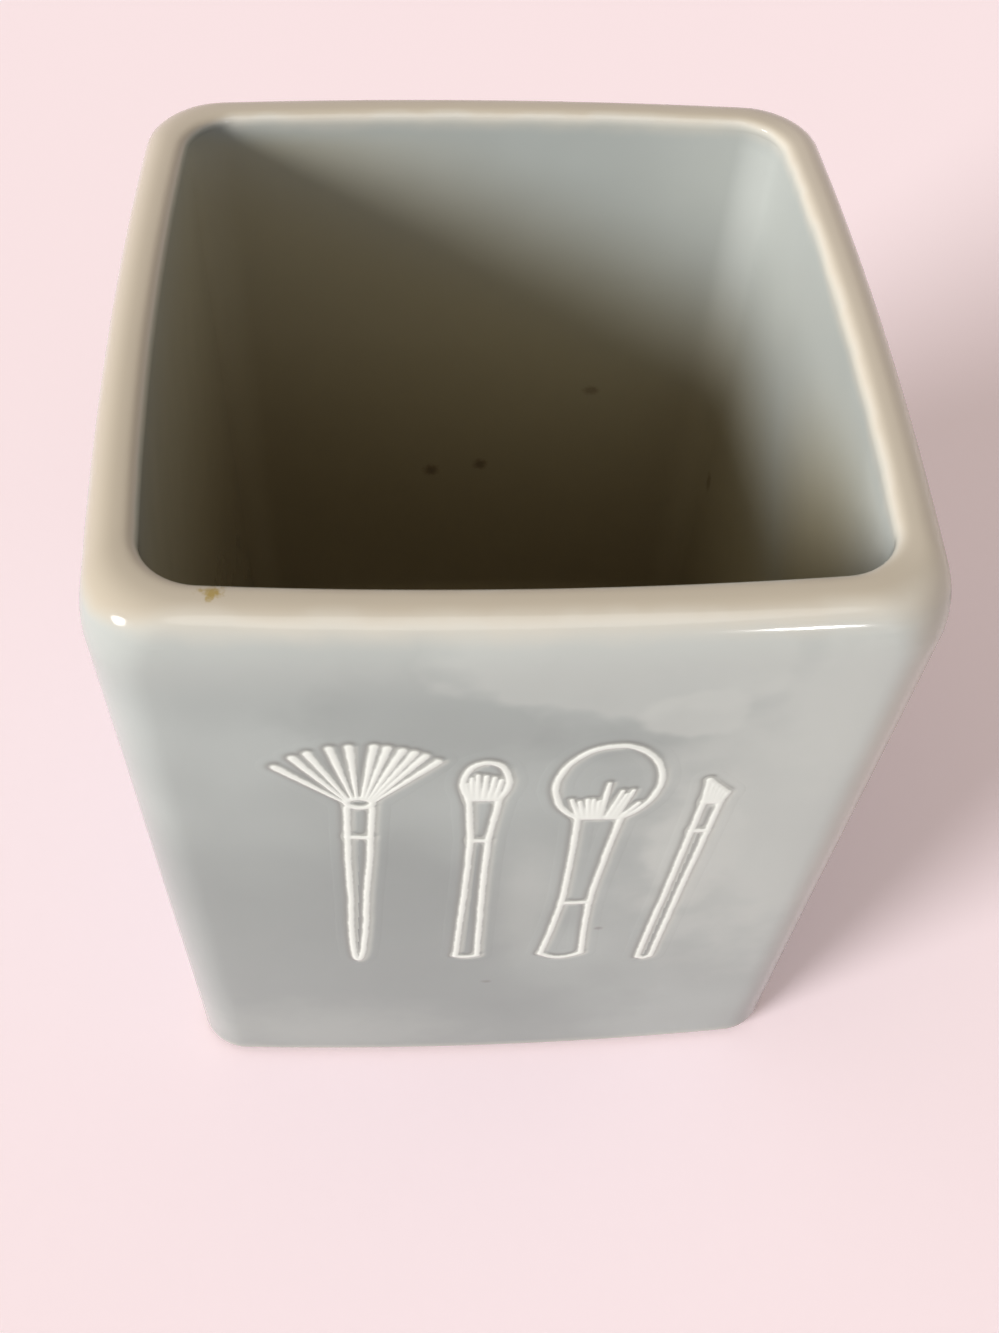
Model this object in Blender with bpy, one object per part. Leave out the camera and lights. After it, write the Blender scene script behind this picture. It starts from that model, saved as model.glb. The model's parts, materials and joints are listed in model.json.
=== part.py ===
"""Square ceramic pot that holds makeup brushes.

The pot is a slip-cast clay body under one coat of glaze, with four brushes drawn on its front
face in raised lines. Lengths are in metres, +Z is up, the pot stands on Z = 0 with its middle on
the Z axis, and the drawings face -Y.

Every level of the pot is the same figure: a square with bowed sides and round corners. A level is
written as (inset, corner radius, z), where the inset is measured inwards from the outermost skin.
"""

import math

import bmesh
import bpy
from mathutils import Matrix, Vector
from mathutils.geometry import delaunay_2d_cdt

# The pot as a whole, measured outside the glaze
pot_width = 0.085
pot_height = 0.1013
side_bow = 0.0010
outer_corner_radius = 0.0068

# The wall, its rolled lip and the inside
wall_thickness = 0.0058
inner_corner_radius = 0.0050
lip_crest_inset = 0.0042
lip_outer_drop = 0.0065
lip_inner_drop = 0.0017
lip_squareness = 2.5
lip_corner_growth = 0.0020
floor_height = 0.0062
floor_fillet_radius = 0.0060
floor_corner_radius = 0.0080

# The foot that the pot stands on, left bare of glaze
base_edge_radius = 0.0025
foot_width = 0.0055
foot_corner_radius = 0.0060
recess_depth = 0.0012
recess_slope_width = 0.0009

# The coat of glaze and the clearance that the coat and the drawings keep to what is under them
glaze_thickness = 0.0004
seat_gap = 0.0003
glaze_wrap_deg = 28.0

# The raised line that all four drawings are made with
line_width = 0.0008
line_height = 0.00045
line_edge_height = 0.00012

# Corners of the drawings that lie closer than this become one corner
merge_distance = 0.000002

# Fan brush, from its tip at the bottom to the ends of its rays. Like the other three, it is placed
# by shares of the pot's width and height: across from the middle of the face, and up from the foot
fan_x_share = -0.2076
fan_bottom_share = 0.3228
fan_lean_deg = 1.9
fan_handle_length = 0.0319
fan_handle_width = 0.0026
fan_ferrule_length = 0.0064
fan_ferrule_width = 0.0030
fan_mouth_height = 0.0019
fan_radius = 0.0123
fan_spread_deg = 43.0
fan_ray_shares = (-1.0, -0.74, -0.53, -0.30, -0.07, 0.17, 0.33, 0.49, 0.64, 0.79, 0.96)
fan_handle_shares = (
    (0.0, 0.0), (0.03, 0.48), (0.10, 0.76), (0.27, 0.84), (0.48, 0.78), (0.78, 0.97), (1.0, 1.0),
)

# Eyeshadow brush, from its flat bottom to the top of its domed head
shadow_x_share = -0.05
shadow_bottom_share = 0.3248
shadow_lean_deg = 1.4
shadow_handle_length = 0.0306
shadow_handle_bottom_width = 0.0031
shadow_handle_sag = 0.0004
shadow_band_width = 0.0020
shadow_ferrule_length = 0.0090
shadow_ferrule_width = 0.0032
shadow_head_width = 0.0048
shadow_head_height = 0.0072
shadow_handle_shares = ((0.0, 1.0), (0.22, 0.72), (0.5, 0.36), (0.8, 0.06), (1.0, 0.0))
shadow_head_shares = ((0.66, 0.0), (0.93, 0.25), (0.97, 0.56), (0.62, 0.89), (0.0, 1.0))
shadow_bristle_shares = (
    (-0.75, -0.62, 0.56), (-0.42, -0.36, 0.66), (-0.05, 0.0, 0.63), (0.32, 0.36, 0.58), (0.68, 0.66, 0.52),
)

# Powder brush, from its flared bottom to the top of its round head
powder_x_share = 0.0953
powder_bottom_share = 0.3139
powder_lean_deg = 2.0
powder_bottom_width = 0.0062
powder_bottom_sag = 0.0012
powder_waist_width = 0.0032
powder_ferrule_width = 0.0053
powder_handle_length = 0.0356
powder_band_height = 0.0156
powder_head_width = 0.0116
powder_head_height = 0.0148
powder_flare_shares = ((0.0, 1.0), (0.22, 0.27), (0.43, 0.0))
powder_neck_shares = ((0.62, 0.10), (0.80, 0.36), (1.0, 1.0))
powder_bristle_shares = (
    (-0.92, -1.30, 0.25), (-0.68, -0.98, 0.22), (-0.44, -0.70, 0.24), (-0.20, -0.38, 0.27),
    (0.06, 0.02, 0.47), (0.42, 0.80, 0.35), (0.66, 1.14, 0.39), (0.92, 1.42, 0.22),
)

# Angled liner brush, from its round bottom to its slanted tip
angled_x_share = 0.2282
angled_bottom_share = 0.2981
angled_lean_deg = 2.4
angled_handle_length = 0.0337
angled_handle_width = 0.0021
angled_ferrule_length = 0.0063
angled_tip_width = 0.0034
angled_long_side = 0.0048
angled_short_side = 0.0020
angled_handle_shares = ((0.0, 0.0), (0.012, 0.66), (0.04, 0.94), (0.30, 0.96), (0.65, 0.94), (1.0, 1.0))
angled_bristle_shares = (-0.55, -0.15, 0.25, 0.6)

# How finely each curve is divided
side_steps = 6
corner_steps = 5
base_steps = 3
lip_steps = 5
floor_steps = 4
curve_steps = 2
arc_steps = 18
mouth_steps = 12
cap_steps = 3
bead_row_shares = (-1.0, -0.5, 0.0, 0.5, 1.0)
sharp_edge_deg = 40.0

# Finish of each material: colour, roughness
clay_finish = ((0.72, 0.66, 0.56), 0.85)
glaze_finish = ((0.46, 0.47, 0.45), 0.12)
line_finish = ((0.86, 0.84, 0.79), 0.25)

clay_depth = glaze_thickness + seat_gap


def bowed_side(inset, corner_radius):
    """Half the distance between corner centres, the centre of the side's arc, and its radius."""
    corner_centre = pot_width / 2 - inset - corner_radius - side_bow
    bow_radius = (corner_centre**2 + side_bow**2) / (2 * side_bow)
    arc_centre = corner_centre + side_bow - bow_radius
    return corner_centre, arc_centre, bow_radius


def square_ring(inset, corner_radius, z):
    """The points of one level, counter-clockwise seen from above."""
    corner_centre, arc_centre, bow_radius = bowed_side(inset, corner_radius)
    bow_angle = math.asin(corner_centre / bow_radius)
    reach = bow_radius + corner_radius
    quarter = []
    for step in range(side_steps + 1):
        angle = bow_angle * (2 * step / side_steps - 1)
        quarter.append((arc_centre + reach * math.cos(angle), reach * math.sin(angle)))
    for step in range(1, corner_steps):
        angle = bow_angle + (math.pi / 2 - 2 * bow_angle) * step / corner_steps
        quarter.append((
            corner_centre + corner_radius * math.cos(angle),
            corner_centre + corner_radius * math.sin(angle),
        ))
    ring = []
    for _ in range(4):
        ring += [Vector((x, y, z)) for x, y in quarter]
        quarter = [(-y, x) for x, y in quarter]
    return ring


def wall_corner_radius(inset):
    """Inside the wall the corners tighten evenly from the outer radius to the inner one."""
    share = inset / wall_thickness
    return outer_corner_radius + (inner_corner_radius - outer_corner_radius) * share


def base_edge_levels(depth, wrap_deg):
    """The rounded bottom edge, from wrap_deg below the horizontal up to the plumb wall."""
    radius = base_edge_radius - depth
    levels = []
    for step in range(base_steps + 1):
        angle = math.radians(wrap_deg) * (1 - step / base_steps)
        inset = base_edge_radius - radius * math.cos(angle)
        z = base_edge_radius - clay_depth - radius * math.sin(angle)
        levels.append((inset, wall_corner_radius(inset), z))
    return levels


def lip_levels(depth):
    """The lip: a broad roll on the outside and a tighter one on the inside.

    Both are quarters of squared ellipses, so the crown between them is nearly flat. The corners are
    rounder on the crown than on the walls.
    """
    levels = []
    for step in range(2 * lip_steps + 1):
        angle = math.pi / 2 * step / lip_steps
        outside = step < lip_steps
        reach = lip_crest_inset if outside else wall_thickness - lip_crest_inset
        drop = lip_outer_drop if outside else lip_inner_drop
        across = abs(math.cos(angle)) ** (2 / lip_squareness)
        up = math.sin(angle) ** (2 / lip_squareness)
        inset = lip_crest_inset - math.copysign((reach - depth) * across, math.cos(angle))
        z = pot_height - drop + (drop - depth) * up
        levels.append((inset, wall_corner_radius(inset) + lip_corner_growth * up, z))
    return levels


def floor_levels(depth):
    """The round fillet from the inner wall to the flat floor, its corners growing rounder."""
    radius = floor_fillet_radius + depth
    wall_radius = wall_corner_radius(wall_thickness - depth)
    levels = []
    for step in range(floor_steps + 1):
        share = step / floor_steps
        angle = math.pi / 2 * share
        inset = wall_thickness + floor_fillet_radius - radius * math.cos(angle)
        z = floor_height + floor_fillet_radius - radius * math.sin(angle)
        levels.append((inset, wall_radius + (floor_corner_radius - wall_radius) * share, z))
    return levels


def skin_levels(depth, wrap_deg):
    """The pot's surface, depth under its outermost skin, from the base edge to the floor."""
    return base_edge_levels(depth, wrap_deg) + lip_levels(depth) + floor_levels(depth)


def foot_levels():
    """The underside, from the middle of the recess out to the flat foot."""
    foot_inner = base_edge_radius + foot_width
    return [
        (foot_inner + recess_slope_width, foot_corner_radius, recess_depth),
        (foot_inner, foot_corner_radius, 0.0),
    ]


def glaze_edge_level():
    """The rounded lower edge of the coat, half its thickness past where it stops."""
    middle = base_edge_radius - glaze_thickness / 2
    angle = math.radians(glaze_wrap_deg)
    bulge = glaze_thickness / 2
    inset = base_edge_radius - middle * math.cos(angle) + bulge * math.sin(angle)
    z = base_edge_radius - clay_depth - middle * math.sin(angle) - bulge * math.cos(angle)
    return (inset, wall_corner_radius(inset), z)


def front_face_y(x):
    """Where the glazed front face lies at x: on the side's arc, or past its end on the corner's."""
    corner_centre, arc_centre, bow_radius = bowed_side(0.0, outer_corner_radius)
    reach = bow_radius + outer_corner_radius
    if abs(x) * bow_radius < reach * corner_centre:
        return -(arc_centre + math.sqrt(reach**2 - x**2))
    return -(corner_centre + math.sqrt(outer_corner_radius**2 - (abs(x) - corner_centre) ** 2))


def arc(centre, width, height, start_deg, end_deg, steps):
    """Points on an ellipse of the given full width and height, both ends included."""
    points = []
    for step in range(steps + 1):
        angle = math.radians(start_deg + (end_deg - start_deg) * step / steps)
        points.append(centre + Vector((width / 2 * math.cos(angle), height / 2 * math.sin(angle))))
    return points


def smooth_through(points):
    """A Catmull-Rom curve through the points."""
    padded = [2 * points[0] - points[1], *points, 2 * points[-1] - points[-2]]
    curve = []
    for a, b, c, d in zip(padded, padded[1:], padded[2:], padded[3:]):
        for step in range(curve_steps):
            t = step / curve_steps
            curve.append(
                0.5 * (2 * b + (c - a) * t + (2 * a - 5 * b + 4 * c - d) * t**2
                       + (3 * b - a - 3 * c + d) * t**3)
            )
    return [*curve, points[-1].copy()]


def mirrored(points):
    """The same stroke on the brush's other side."""
    return [Vector((-point.x, point.y)) for point in points]


def signed_area(polygon):
    """Positive where the polygon runs counter-clockwise."""
    return sum(a.cross(b) for a, b in zip(polygon, polygon[1:] + polygon[:1])) / 2


def is_sliver(triangle):
    """Whether a triangle is so thin that merging its corners could turn it over."""
    longest = max((b - a).length for a, b in zip(triangle, triangle[1:] + triangle[:1]))
    return signed_area(triangle) < merge_distance * longest


def wound_forward(polygon):
    """The polygon in counter-clockwise pieces: a folded one, inside a tight bend, in its two halves."""
    turns = [
        signed_area([polygon[i - 2], polygon[i - 1], polygon[i]]) for i in range(len(polygon))
    ]
    if min(turns) > 0:
        return [polygon]
    halves = [[polygon[0], polygon[i], polygon[i + 1]] for i in range(1, len(polygon) - 1)]
    forward = [half if signed_area(half) > 0 else half[::-1] for half in halves]
    return [half for half in forward if not is_sliver(half)]


def half_round_end(point, outward):
    """Polygons that round off one end of a stroke."""
    radii = [share * line_width / 2 for share in bead_row_shares if share > 0]
    spokes = []
    for step in range(cap_steps + 1):
        angle = math.pi * (step / cap_steps - 0.5)
        spoke = Vector((
            outward.x * math.cos(angle) - outward.y * math.sin(angle),
            outward.x * math.sin(angle) + outward.y * math.cos(angle),
        ))
        spokes.append([point + spoke * radius for radius in radii])
    polygons = []
    for near, far in zip(spokes, spokes[1:]):
        polygons.append([point, near[0], far[0]])
        for row in range(len(radii) - 1):
            polygons.append([near[row], near[row + 1], far[row + 1], far[row]])
    return polygons


def ribbon(points, closed):
    """Polygons that cover a stroke, in rows alongside its centre line."""
    last = len(points) - 1
    rows = []
    for i, point in enumerate(points):
        before = points[i - 1] if closed or i > 0 else point
        after = points[(i + 1) % len(points)] if closed or i < last else point
        along = (after - before).normalized()
        side = Vector((-along.y, along.x))
        rows.append([point + side * (share * line_width / 2) for share in bead_row_shares])
    polygons = []
    for i in range(len(points) if closed else last):
        near, far = rows[i], rows[(i + 1) % len(points)]
        for row in range(len(bead_row_shares) - 1):
            polygons.append([near[row], far[row], far[row + 1], near[row + 1]])
    if not closed:
        polygons += half_round_end(points[0], (points[0] - points[1]).normalized())
        polygons += half_round_end(points[-1], (points[-1] - points[-2]).normalized())
    return polygons


def merged_triangles(polygons):
    """One flat triangulation of all the polygons, where overlaps and crossings share corners."""
    pieces = [piece for polygon in polygons for piece in wound_forward(polygon)]
    corners = [corner for piece in pieces for corner in piece]
    faces, first = [], 0
    for piece in pieces:
        faces.append(list(range(first, first + len(piece))))
        first += len(piece)
    points, _, triangles, _, _, sources = delaunay_2d_cdt(corners, [], faces, 0, merge_distance)
    covered = [triangle for triangle, source in zip(triangles, sources) if source]
    used = sorted({corner for triangle in covered for corner in triangle})
    number = {corner: i for i, corner in enumerate(used)}
    return [points[i] for i in used], [[number[i] for i in triangle] for triangle in covered]


def distance_to_segment(point, start, end):
    """How far a point lies from the stretch between start and end."""
    along = end - start
    share = (point - start).dot(along) / along.length_squared
    return (point - start - along * min(1.0, max(0.0, share))).length


def bead_height(point, strokes):
    """The raised line is highest over its centre line and falls away to its edge."""
    distance = min(
        distance_to_segment(point, start, end)
        for points, closed in strokes
        for start, end in zip(points, points[1:] + (points[:1] if closed else []))
    )
    share = min(1.0, distance / (line_width / 2))
    return line_edge_height + (line_height - line_edge_height) * (1 - share**2)


def finished_object(name, bm, finish, location):
    """A named object from a bmesh, with its own material and smooth shading."""
    bmesh.ops.recalc_face_normals(bm, faces=bm.faces)
    mesh = bpy.data.meshes.new(name)
    bm.to_mesh(mesh)
    bm.free()
    mesh.shade_smooth()
    mesh.set_sharp_from_angle(angle=math.radians(sharp_edge_deg))
    colour, roughness = finish
    material = bpy.data.materials.new(name)
    material.use_nodes = True
    shader = material.node_tree.nodes["Principled BSDF"]
    shader.inputs["Base Color"].default_value = (*colour, 1.0)
    shader.inputs["Roughness"].default_value = roughness
    mesh.materials.append(material)
    piece = bpy.data.objects.new(name, mesh)
    piece.location = location
    bpy.context.collection.objects.link(piece)
    return piece


def ring_edges(bm, level):
    """The closed loop of edges round one level."""
    corners = [bm.verts.new(point) for point in square_ring(*level)]
    return [bm.edges.new(pair) for pair in zip(corners, corners[1:] + corners[:1])]


def square_loft(name, levels, finish):
    """A closed body bridged from level to level, its first and last levels filled flat."""
    bm = bmesh.new()
    loops = [ring_edges(bm, level) for level in levels]
    for lower, upper in zip(loops, loops[1:]):
        bmesh.ops.bridge_loops(bm, edges=lower + upper)
    for end in (loops[0], loops[-1]):
        bmesh.ops.edgeloop_fill(bm, edges=end)
    return finished_object(name, bm, finish, (0.0, 0.0, 0.0))


def raised_drawing(name, strokes, x_share, bottom_share, lean_deg):
    """A closed body of raised lines that follows the bowed front face.

    A stroke is (points, closed), in the brush's own plane: across it, and up from its bottom. The
    strokes are filled flat, extruded, raised to their beads, leant over and laid on the face.
    """
    flat, triangles = merged_triangles([p for points, closed in strokes for p in ribbon(points, closed)])
    bm = bmesh.new()
    back = [bm.verts.new((point.x, 0.0, point.y)) for point in flat]
    faces = [bm.faces.new([back[corner] for corner in triangle]) for triangle in triangles]
    raised = bmesh.ops.extrude_face_region(bm, geom=faces)["geom"]
    for vert in raised:
        if isinstance(vert, bmesh.types.BMVert):
            vert.co.y = -bead_height(Vector((vert.co.x, vert.co.z)), strokes)
    bmesh.ops.rotate(bm, verts=bm.verts, matrix=Matrix.Rotation(math.radians(lean_deg), 3, "Y"))
    x = x_share * pot_width
    seat_y = front_face_y(x) - seat_gap
    for vert in bm.verts:
        vert.co.y += front_face_y(x + vert.co.x) - front_face_y(x)
    return finished_object(name, bm, line_finish, (x, seat_y, bottom_share * pot_height))


def crossing_line(width, height):
    """A straight line across the brush."""
    return [Vector((-width / 2, height)), Vector((width / 2, height))]


def fan_brush_strokes():
    band = fan_handle_length
    ferrule_top = band + fan_ferrule_length
    edge = [
        Vector((width_share * fan_handle_width / 2, length_share * fan_handle_length))
        for length_share, width_share in fan_handle_shares
    ]
    handle = smooth_through(mirrored(edge)[:0:-1] + edge)
    ferrule_side = [Vector((fan_handle_width / 2, band)), Vector((fan_ferrule_width / 2, ferrule_top))]
    mouth_centre = Vector((0.0, ferrule_top + fan_mouth_height / 2))
    mouth = arc(mouth_centre, fan_ferrule_width, fan_mouth_height, 0, 360, mouth_steps)[:-1]
    strokes = [(handle, False), (crossing_line(fan_handle_width, band), False)]
    strokes += [(ferrule_side, False), (mirrored(ferrule_side), False), (mouth, True)]
    for share in fan_ray_shares:
        start_angle = math.pi / 2 * share
        end_angle = math.radians(fan_spread_deg) * share
        start = mouth_centre + Vector((
            fan_ferrule_width / 2 * math.sin(start_angle),
            fan_mouth_height / 2 * math.cos(start_angle),
        ))
        end = Vector((fan_radius * math.sin(end_angle), ferrule_top + fan_radius * math.cos(end_angle)))
        strokes.append(([start, end], False))
    return strokes


def shadow_brush_strokes():
    band = shadow_handle_length
    ferrule_top = band + shadow_ferrule_length
    flare = (shadow_handle_bottom_width - shadow_band_width) / 2
    corner_z = shadow_handle_sag
    edge = smooth_through([
        Vector((shadow_band_width / 2 + width_share * flare, corner_z + length_share * (band - corner_z)))
        for length_share, width_share in shadow_handle_shares
    ])
    bottom = smooth_through([*mirrored(edge[:1]), Vector((0.0, 0.0)), edge[0]])
    ferrule_side = [Vector((shadow_band_width / 2, band)), Vector((shadow_ferrule_width / 2, ferrule_top))]
    head_side = [
        Vector((width_share * shadow_head_width / 2, ferrule_top + height_share * shadow_head_height))
        for width_share, height_share in shadow_head_shares
    ]
    head = smooth_through(head_side + mirrored(head_side)[-2::-1])
    strokes = [(edge, False), (mirrored(edge), False), (bottom, False)]
    strokes += [(ferrule_side, False), (mirrored(ferrule_side), False), (head, False)]
    strokes.append((crossing_line(shadow_band_width, band), False))
    strokes.append((crossing_line(shadow_ferrule_width, ferrule_top), False))
    for base_share, tip_share, height_share in shadow_bristle_shares:
        base = Vector((base_share * shadow_ferrule_width / 2, ferrule_top))
        tip = Vector((tip_share * shadow_head_width / 2, ferrule_top + height_share * shadow_head_height))
        strokes.append(([base, tip], False))
    return strokes


def powder_brush_strokes():
    top = powder_handle_length
    flare = (powder_bottom_width - powder_waist_width) / 2
    neck = (powder_ferrule_width - powder_waist_width) / 2
    corner_z = powder_bottom_sag
    widening = [(length_share, share * flare) for length_share, share in powder_flare_shares]
    widening += [(length_share, share * neck) for length_share, share in powder_neck_shares]
    edge = smooth_through([
        Vector((powder_waist_width / 2 + wider, corner_z + length_share * (top - corner_z)))
        for length_share, wider in widening
    ])
    bottom = smooth_through([*mirrored(edge[:1]), Vector((0.0, 0.0)), edge[0]])
    mouth_angle = math.acos(powder_ferrule_width / powder_head_width)
    half_head = powder_head_height / (1 + math.sin(mouth_angle))
    head_centre = Vector((0.0, top + powder_head_height - half_head))
    mouth_deg = math.degrees(mouth_angle)
    head = arc(head_centre, powder_head_width, 2 * half_head, -mouth_deg, 180 + mouth_deg, arc_steps)
    strokes = [(edge, False), (mirrored(edge), False), (bottom, False), (head, False)]
    strokes.append((crossing_line(powder_waist_width, powder_band_height), False))
    strokes.append((crossing_line(powder_ferrule_width, top), False))
    for base_share, tip_share, height_share in powder_bristle_shares:
        base = Vector((base_share * powder_ferrule_width / 2, top))
        tip = Vector((tip_share * powder_ferrule_width / 2, top + height_share * powder_head_height))
        strokes.append(([base, tip], False))
    return strokes


def angled_brush_strokes():
    band = angled_handle_length
    ferrule_top = band + angled_ferrule_length
    half = angled_handle_width / 2
    half_tip = angled_tip_width / 2
    edge = [
        Vector((width_share * half, length_share * angled_handle_length))
        for length_share, width_share in angled_handle_shares
    ]
    handle = smooth_through(mirrored(edge)[:0:-1] + edge)
    side = [Vector((half, band)), Vector((half, ferrule_top))]
    long_corner = Vector((-half_tip, ferrule_top + angled_long_side))
    short_corner = Vector((half_tip, ferrule_top + angled_short_side))
    strokes = [(handle, False), (side, False), (mirrored(side), False)]
    strokes.append((crossing_line(angled_handle_width, band), False))
    strokes.append((crossing_line(angled_handle_width, ferrule_top), False))
    strokes.append(([Vector((-half, ferrule_top)), long_corner], False))
    strokes.append(([Vector((half, ferrule_top)), short_corner], False))
    strokes.append(([long_corner, short_corner], False))
    for share in angled_bristle_shares:
        tip = long_corner.lerp(short_corner, (1 + share) / 2)
        strokes.append(([Vector((share * half, ferrule_top)), tip], False))
    return strokes


def main():
    for old in list(bpy.data.objects):
        bpy.data.objects.remove(old)
    clay_levels = foot_levels() + skin_levels(clay_depth, 90.0)
    under_glaze = skin_levels(glaze_thickness, glaze_wrap_deg)[::-1]
    over_glaze = skin_levels(0.0, glaze_wrap_deg)
    pieces = [
        raised_drawing(
            "fan_brush_relief", fan_brush_strokes(),
            fan_x_share, fan_bottom_share, fan_lean_deg,
        ),
        raised_drawing(
            "eyeshadow_brush_relief", shadow_brush_strokes(),
            shadow_x_share, shadow_bottom_share, shadow_lean_deg,
        ),
        raised_drawing(
            "powder_brush_relief", powder_brush_strokes(),
            powder_x_share, powder_bottom_share, powder_lean_deg,
        ),
        raised_drawing(
            "angled_brush_relief", angled_brush_strokes(),
            angled_x_share, angled_bottom_share, angled_lean_deg,
        ),
    ]
    pieces.append(square_loft("stoneware_body", clay_levels, clay_finish))
    pieces.append(square_loft("glaze_coat", under_glaze + [glaze_edge_level()] + over_glaze, glaze_finish))
    pot = bpy.data.objects.new("pot", None)
    bpy.context.collection.objects.link(pot)
    for piece in pieces:
        piece.parent = pot


main()
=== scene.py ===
# %% [markdown]
# # A square ceramic pot for makeup brushes
#
# The real object is one fired piece: a cast clay body, four brushes trailed on its front in raised
# lines, and one coat of grey glaze over all but the foot. Where the clay turns outwards the glaze
# thins, so the lip and the drawn lines come out pale.
#
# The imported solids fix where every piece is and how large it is. What follows models the same
# pieces finely, gives them their finish, and sets up a camera and light.

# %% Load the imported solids
import json
import math

import bmesh
import bpy
import numpy as np
from mathutils import Matrix, Vector, noise

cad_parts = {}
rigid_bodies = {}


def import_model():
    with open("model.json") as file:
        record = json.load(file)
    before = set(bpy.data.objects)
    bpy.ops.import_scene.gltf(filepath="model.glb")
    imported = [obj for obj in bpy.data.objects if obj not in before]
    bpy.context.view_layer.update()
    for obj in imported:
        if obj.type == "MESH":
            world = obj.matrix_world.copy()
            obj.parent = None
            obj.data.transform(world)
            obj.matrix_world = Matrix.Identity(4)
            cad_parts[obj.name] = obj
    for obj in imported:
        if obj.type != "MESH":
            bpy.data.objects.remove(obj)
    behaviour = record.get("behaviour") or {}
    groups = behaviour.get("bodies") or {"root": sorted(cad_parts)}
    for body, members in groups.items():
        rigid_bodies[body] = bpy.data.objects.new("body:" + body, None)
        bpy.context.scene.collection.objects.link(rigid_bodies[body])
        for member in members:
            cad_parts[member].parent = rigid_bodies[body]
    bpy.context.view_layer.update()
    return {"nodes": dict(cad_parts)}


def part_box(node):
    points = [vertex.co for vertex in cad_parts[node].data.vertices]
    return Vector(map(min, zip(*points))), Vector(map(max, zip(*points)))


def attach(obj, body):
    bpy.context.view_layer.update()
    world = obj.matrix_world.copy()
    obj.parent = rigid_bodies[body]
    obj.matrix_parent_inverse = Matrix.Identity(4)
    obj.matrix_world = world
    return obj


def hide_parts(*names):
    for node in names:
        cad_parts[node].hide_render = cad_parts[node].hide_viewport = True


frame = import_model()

print("solids:", ", ".join(sorted(frame["nodes"])))

# %% [markdown]
# ## Sizes
#
# The width and the height are read from the solids, and the other sizes are in metres. Every level
# of the pot is a square with bowed sides and round corners, so a level needs only three numbers:
# how far in from the outer skin it lies, how round its corners are, and how high it is.

# %% Driving sizes of the pot
coat_low, coat_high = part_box("glaze_coat")
pot_width = coat_high.x - coat_low.x
pot_height = coat_high.z
side_bow = 0.0010
outer_corner_radius = 0.0068
inner_corner_radius = 0.0050
wall_thickness = 0.0058
lip_crest_inset = 0.0042
lip_outer_drop = 0.0065
lip_inner_drop = 0.0017
lip_squareness = 2.5
lip_corner_growth = 0.0020
floor_height = 0.0062
floor_fillet_radius = 0.0060
floor_corner_radius = 0.0080
base_edge_radius = 0.0025
glaze_thickness = 0.0004
glaze_wrap_deg = 28.0
clay_depth = 0.00042
millimetre = 0.001
print(f"pot {pot_width / millimetre:.1f} mm wide and {pot_height / millimetre:.1f} mm tall")

# %% [markdown]
# ## The figure of one level
#
# A cast pot is never a true square: its sides bow out a little and its corners are round. A side is
# an arc of a very large circle, and the corner's arc starts where it ends, so that the two meet
# without a kink. Every part of the pot is lofted through this figure.

# %% The bowed square
side_steps = 28
corner_steps = 12


def bowed_side(inset, corner_radius):
    """Half the distance between corner centres, the centre of the side's arc, and its radius."""
    corner_centre = pot_width / 2 - inset - corner_radius - side_bow
    bow_radius = (corner_centre**2 + side_bow**2) / (2 * side_bow)
    return corner_centre, corner_centre + side_bow - bow_radius, bow_radius


def square_ring(inset, corner_radius):
    """The outline at one level, in order of angle round the pot, as rows of x and y."""
    corner_centre, arc_centre, bow_radius = bowed_side(inset, corner_radius)
    bow_angle = math.asin(corner_centre / bow_radius)
    reach = bow_radius + corner_radius
    side = np.linspace(-bow_angle, bow_angle, side_steps + 1)
    turn = np.linspace(bow_angle, math.pi / 2 - bow_angle, corner_steps + 1)[1:-1]
    quarter = np.vstack([
        np.column_stack([arc_centre + reach * np.cos(side), reach * np.sin(side)]),
        corner_centre + corner_radius * np.column_stack([np.cos(turn), np.sin(turn)]),
    ])
    quarter_turn = np.array([[0.0, 1.0], [-1.0, 0.0]])
    quarters = [quarter]
    for _ in range(3):
        quarters.append(quarters[-1] @ quarter_turn)
    ring = np.vstack(quarters)
    return ring[np.argsort(np.arctan2(ring[:, 1], ring[:, 0]))]


def wall_corner_radius(inset):
    """Inside the wall the corners tighten evenly from the outer radius to the inner one."""
    share = inset / wall_thickness
    return outer_corner_radius + (inner_corner_radius - outer_corner_radius) * share


ring_count = len(square_ring(0.0, outer_corner_radius))
print(f"each level has {ring_count} corners")

# %% [markdown]
# ## The profile of the wall
#
# Cut through its middle, the wall shows as one long line: round the base edge, up the outside, over
# the lip, down the inside and through a round fillet to the floor. Slip drains off the outside for
# longer, so the lip's outer roll is long and its inner one tight, and two quarters of a squared
# ellipse make them. The line can be had at any depth under the glazed skin, because the clay needs
# the same line a glaze's thickness further in.

# %% Levels from the base edge to the floor
base_steps = 8
lip_steps = 16
floor_steps = 12
wall_step = 0.0022


def base_edge_levels(depth, wrap_deg):
    """The rounded bottom edge, from wrap_deg below the horizontal up to the plumb wall."""
    radius = base_edge_radius - depth
    levels = []
    for angle in np.radians(np.linspace(wrap_deg, 0.0, base_steps + 1)):
        inset = base_edge_radius - radius * math.cos(angle)
        z = base_edge_radius - clay_depth - radius * math.sin(angle)
        levels.append((inset, wall_corner_radius(inset), z))
    return levels


def plumb_levels(depth, start, end):
    """Even levels of a plumb wall between two heights, both left out."""
    count = round(abs(end - start) / wall_step)
    return [(depth, wall_corner_radius(depth), z) for z in np.linspace(start, end, count + 1)[1:-1]]


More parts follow.
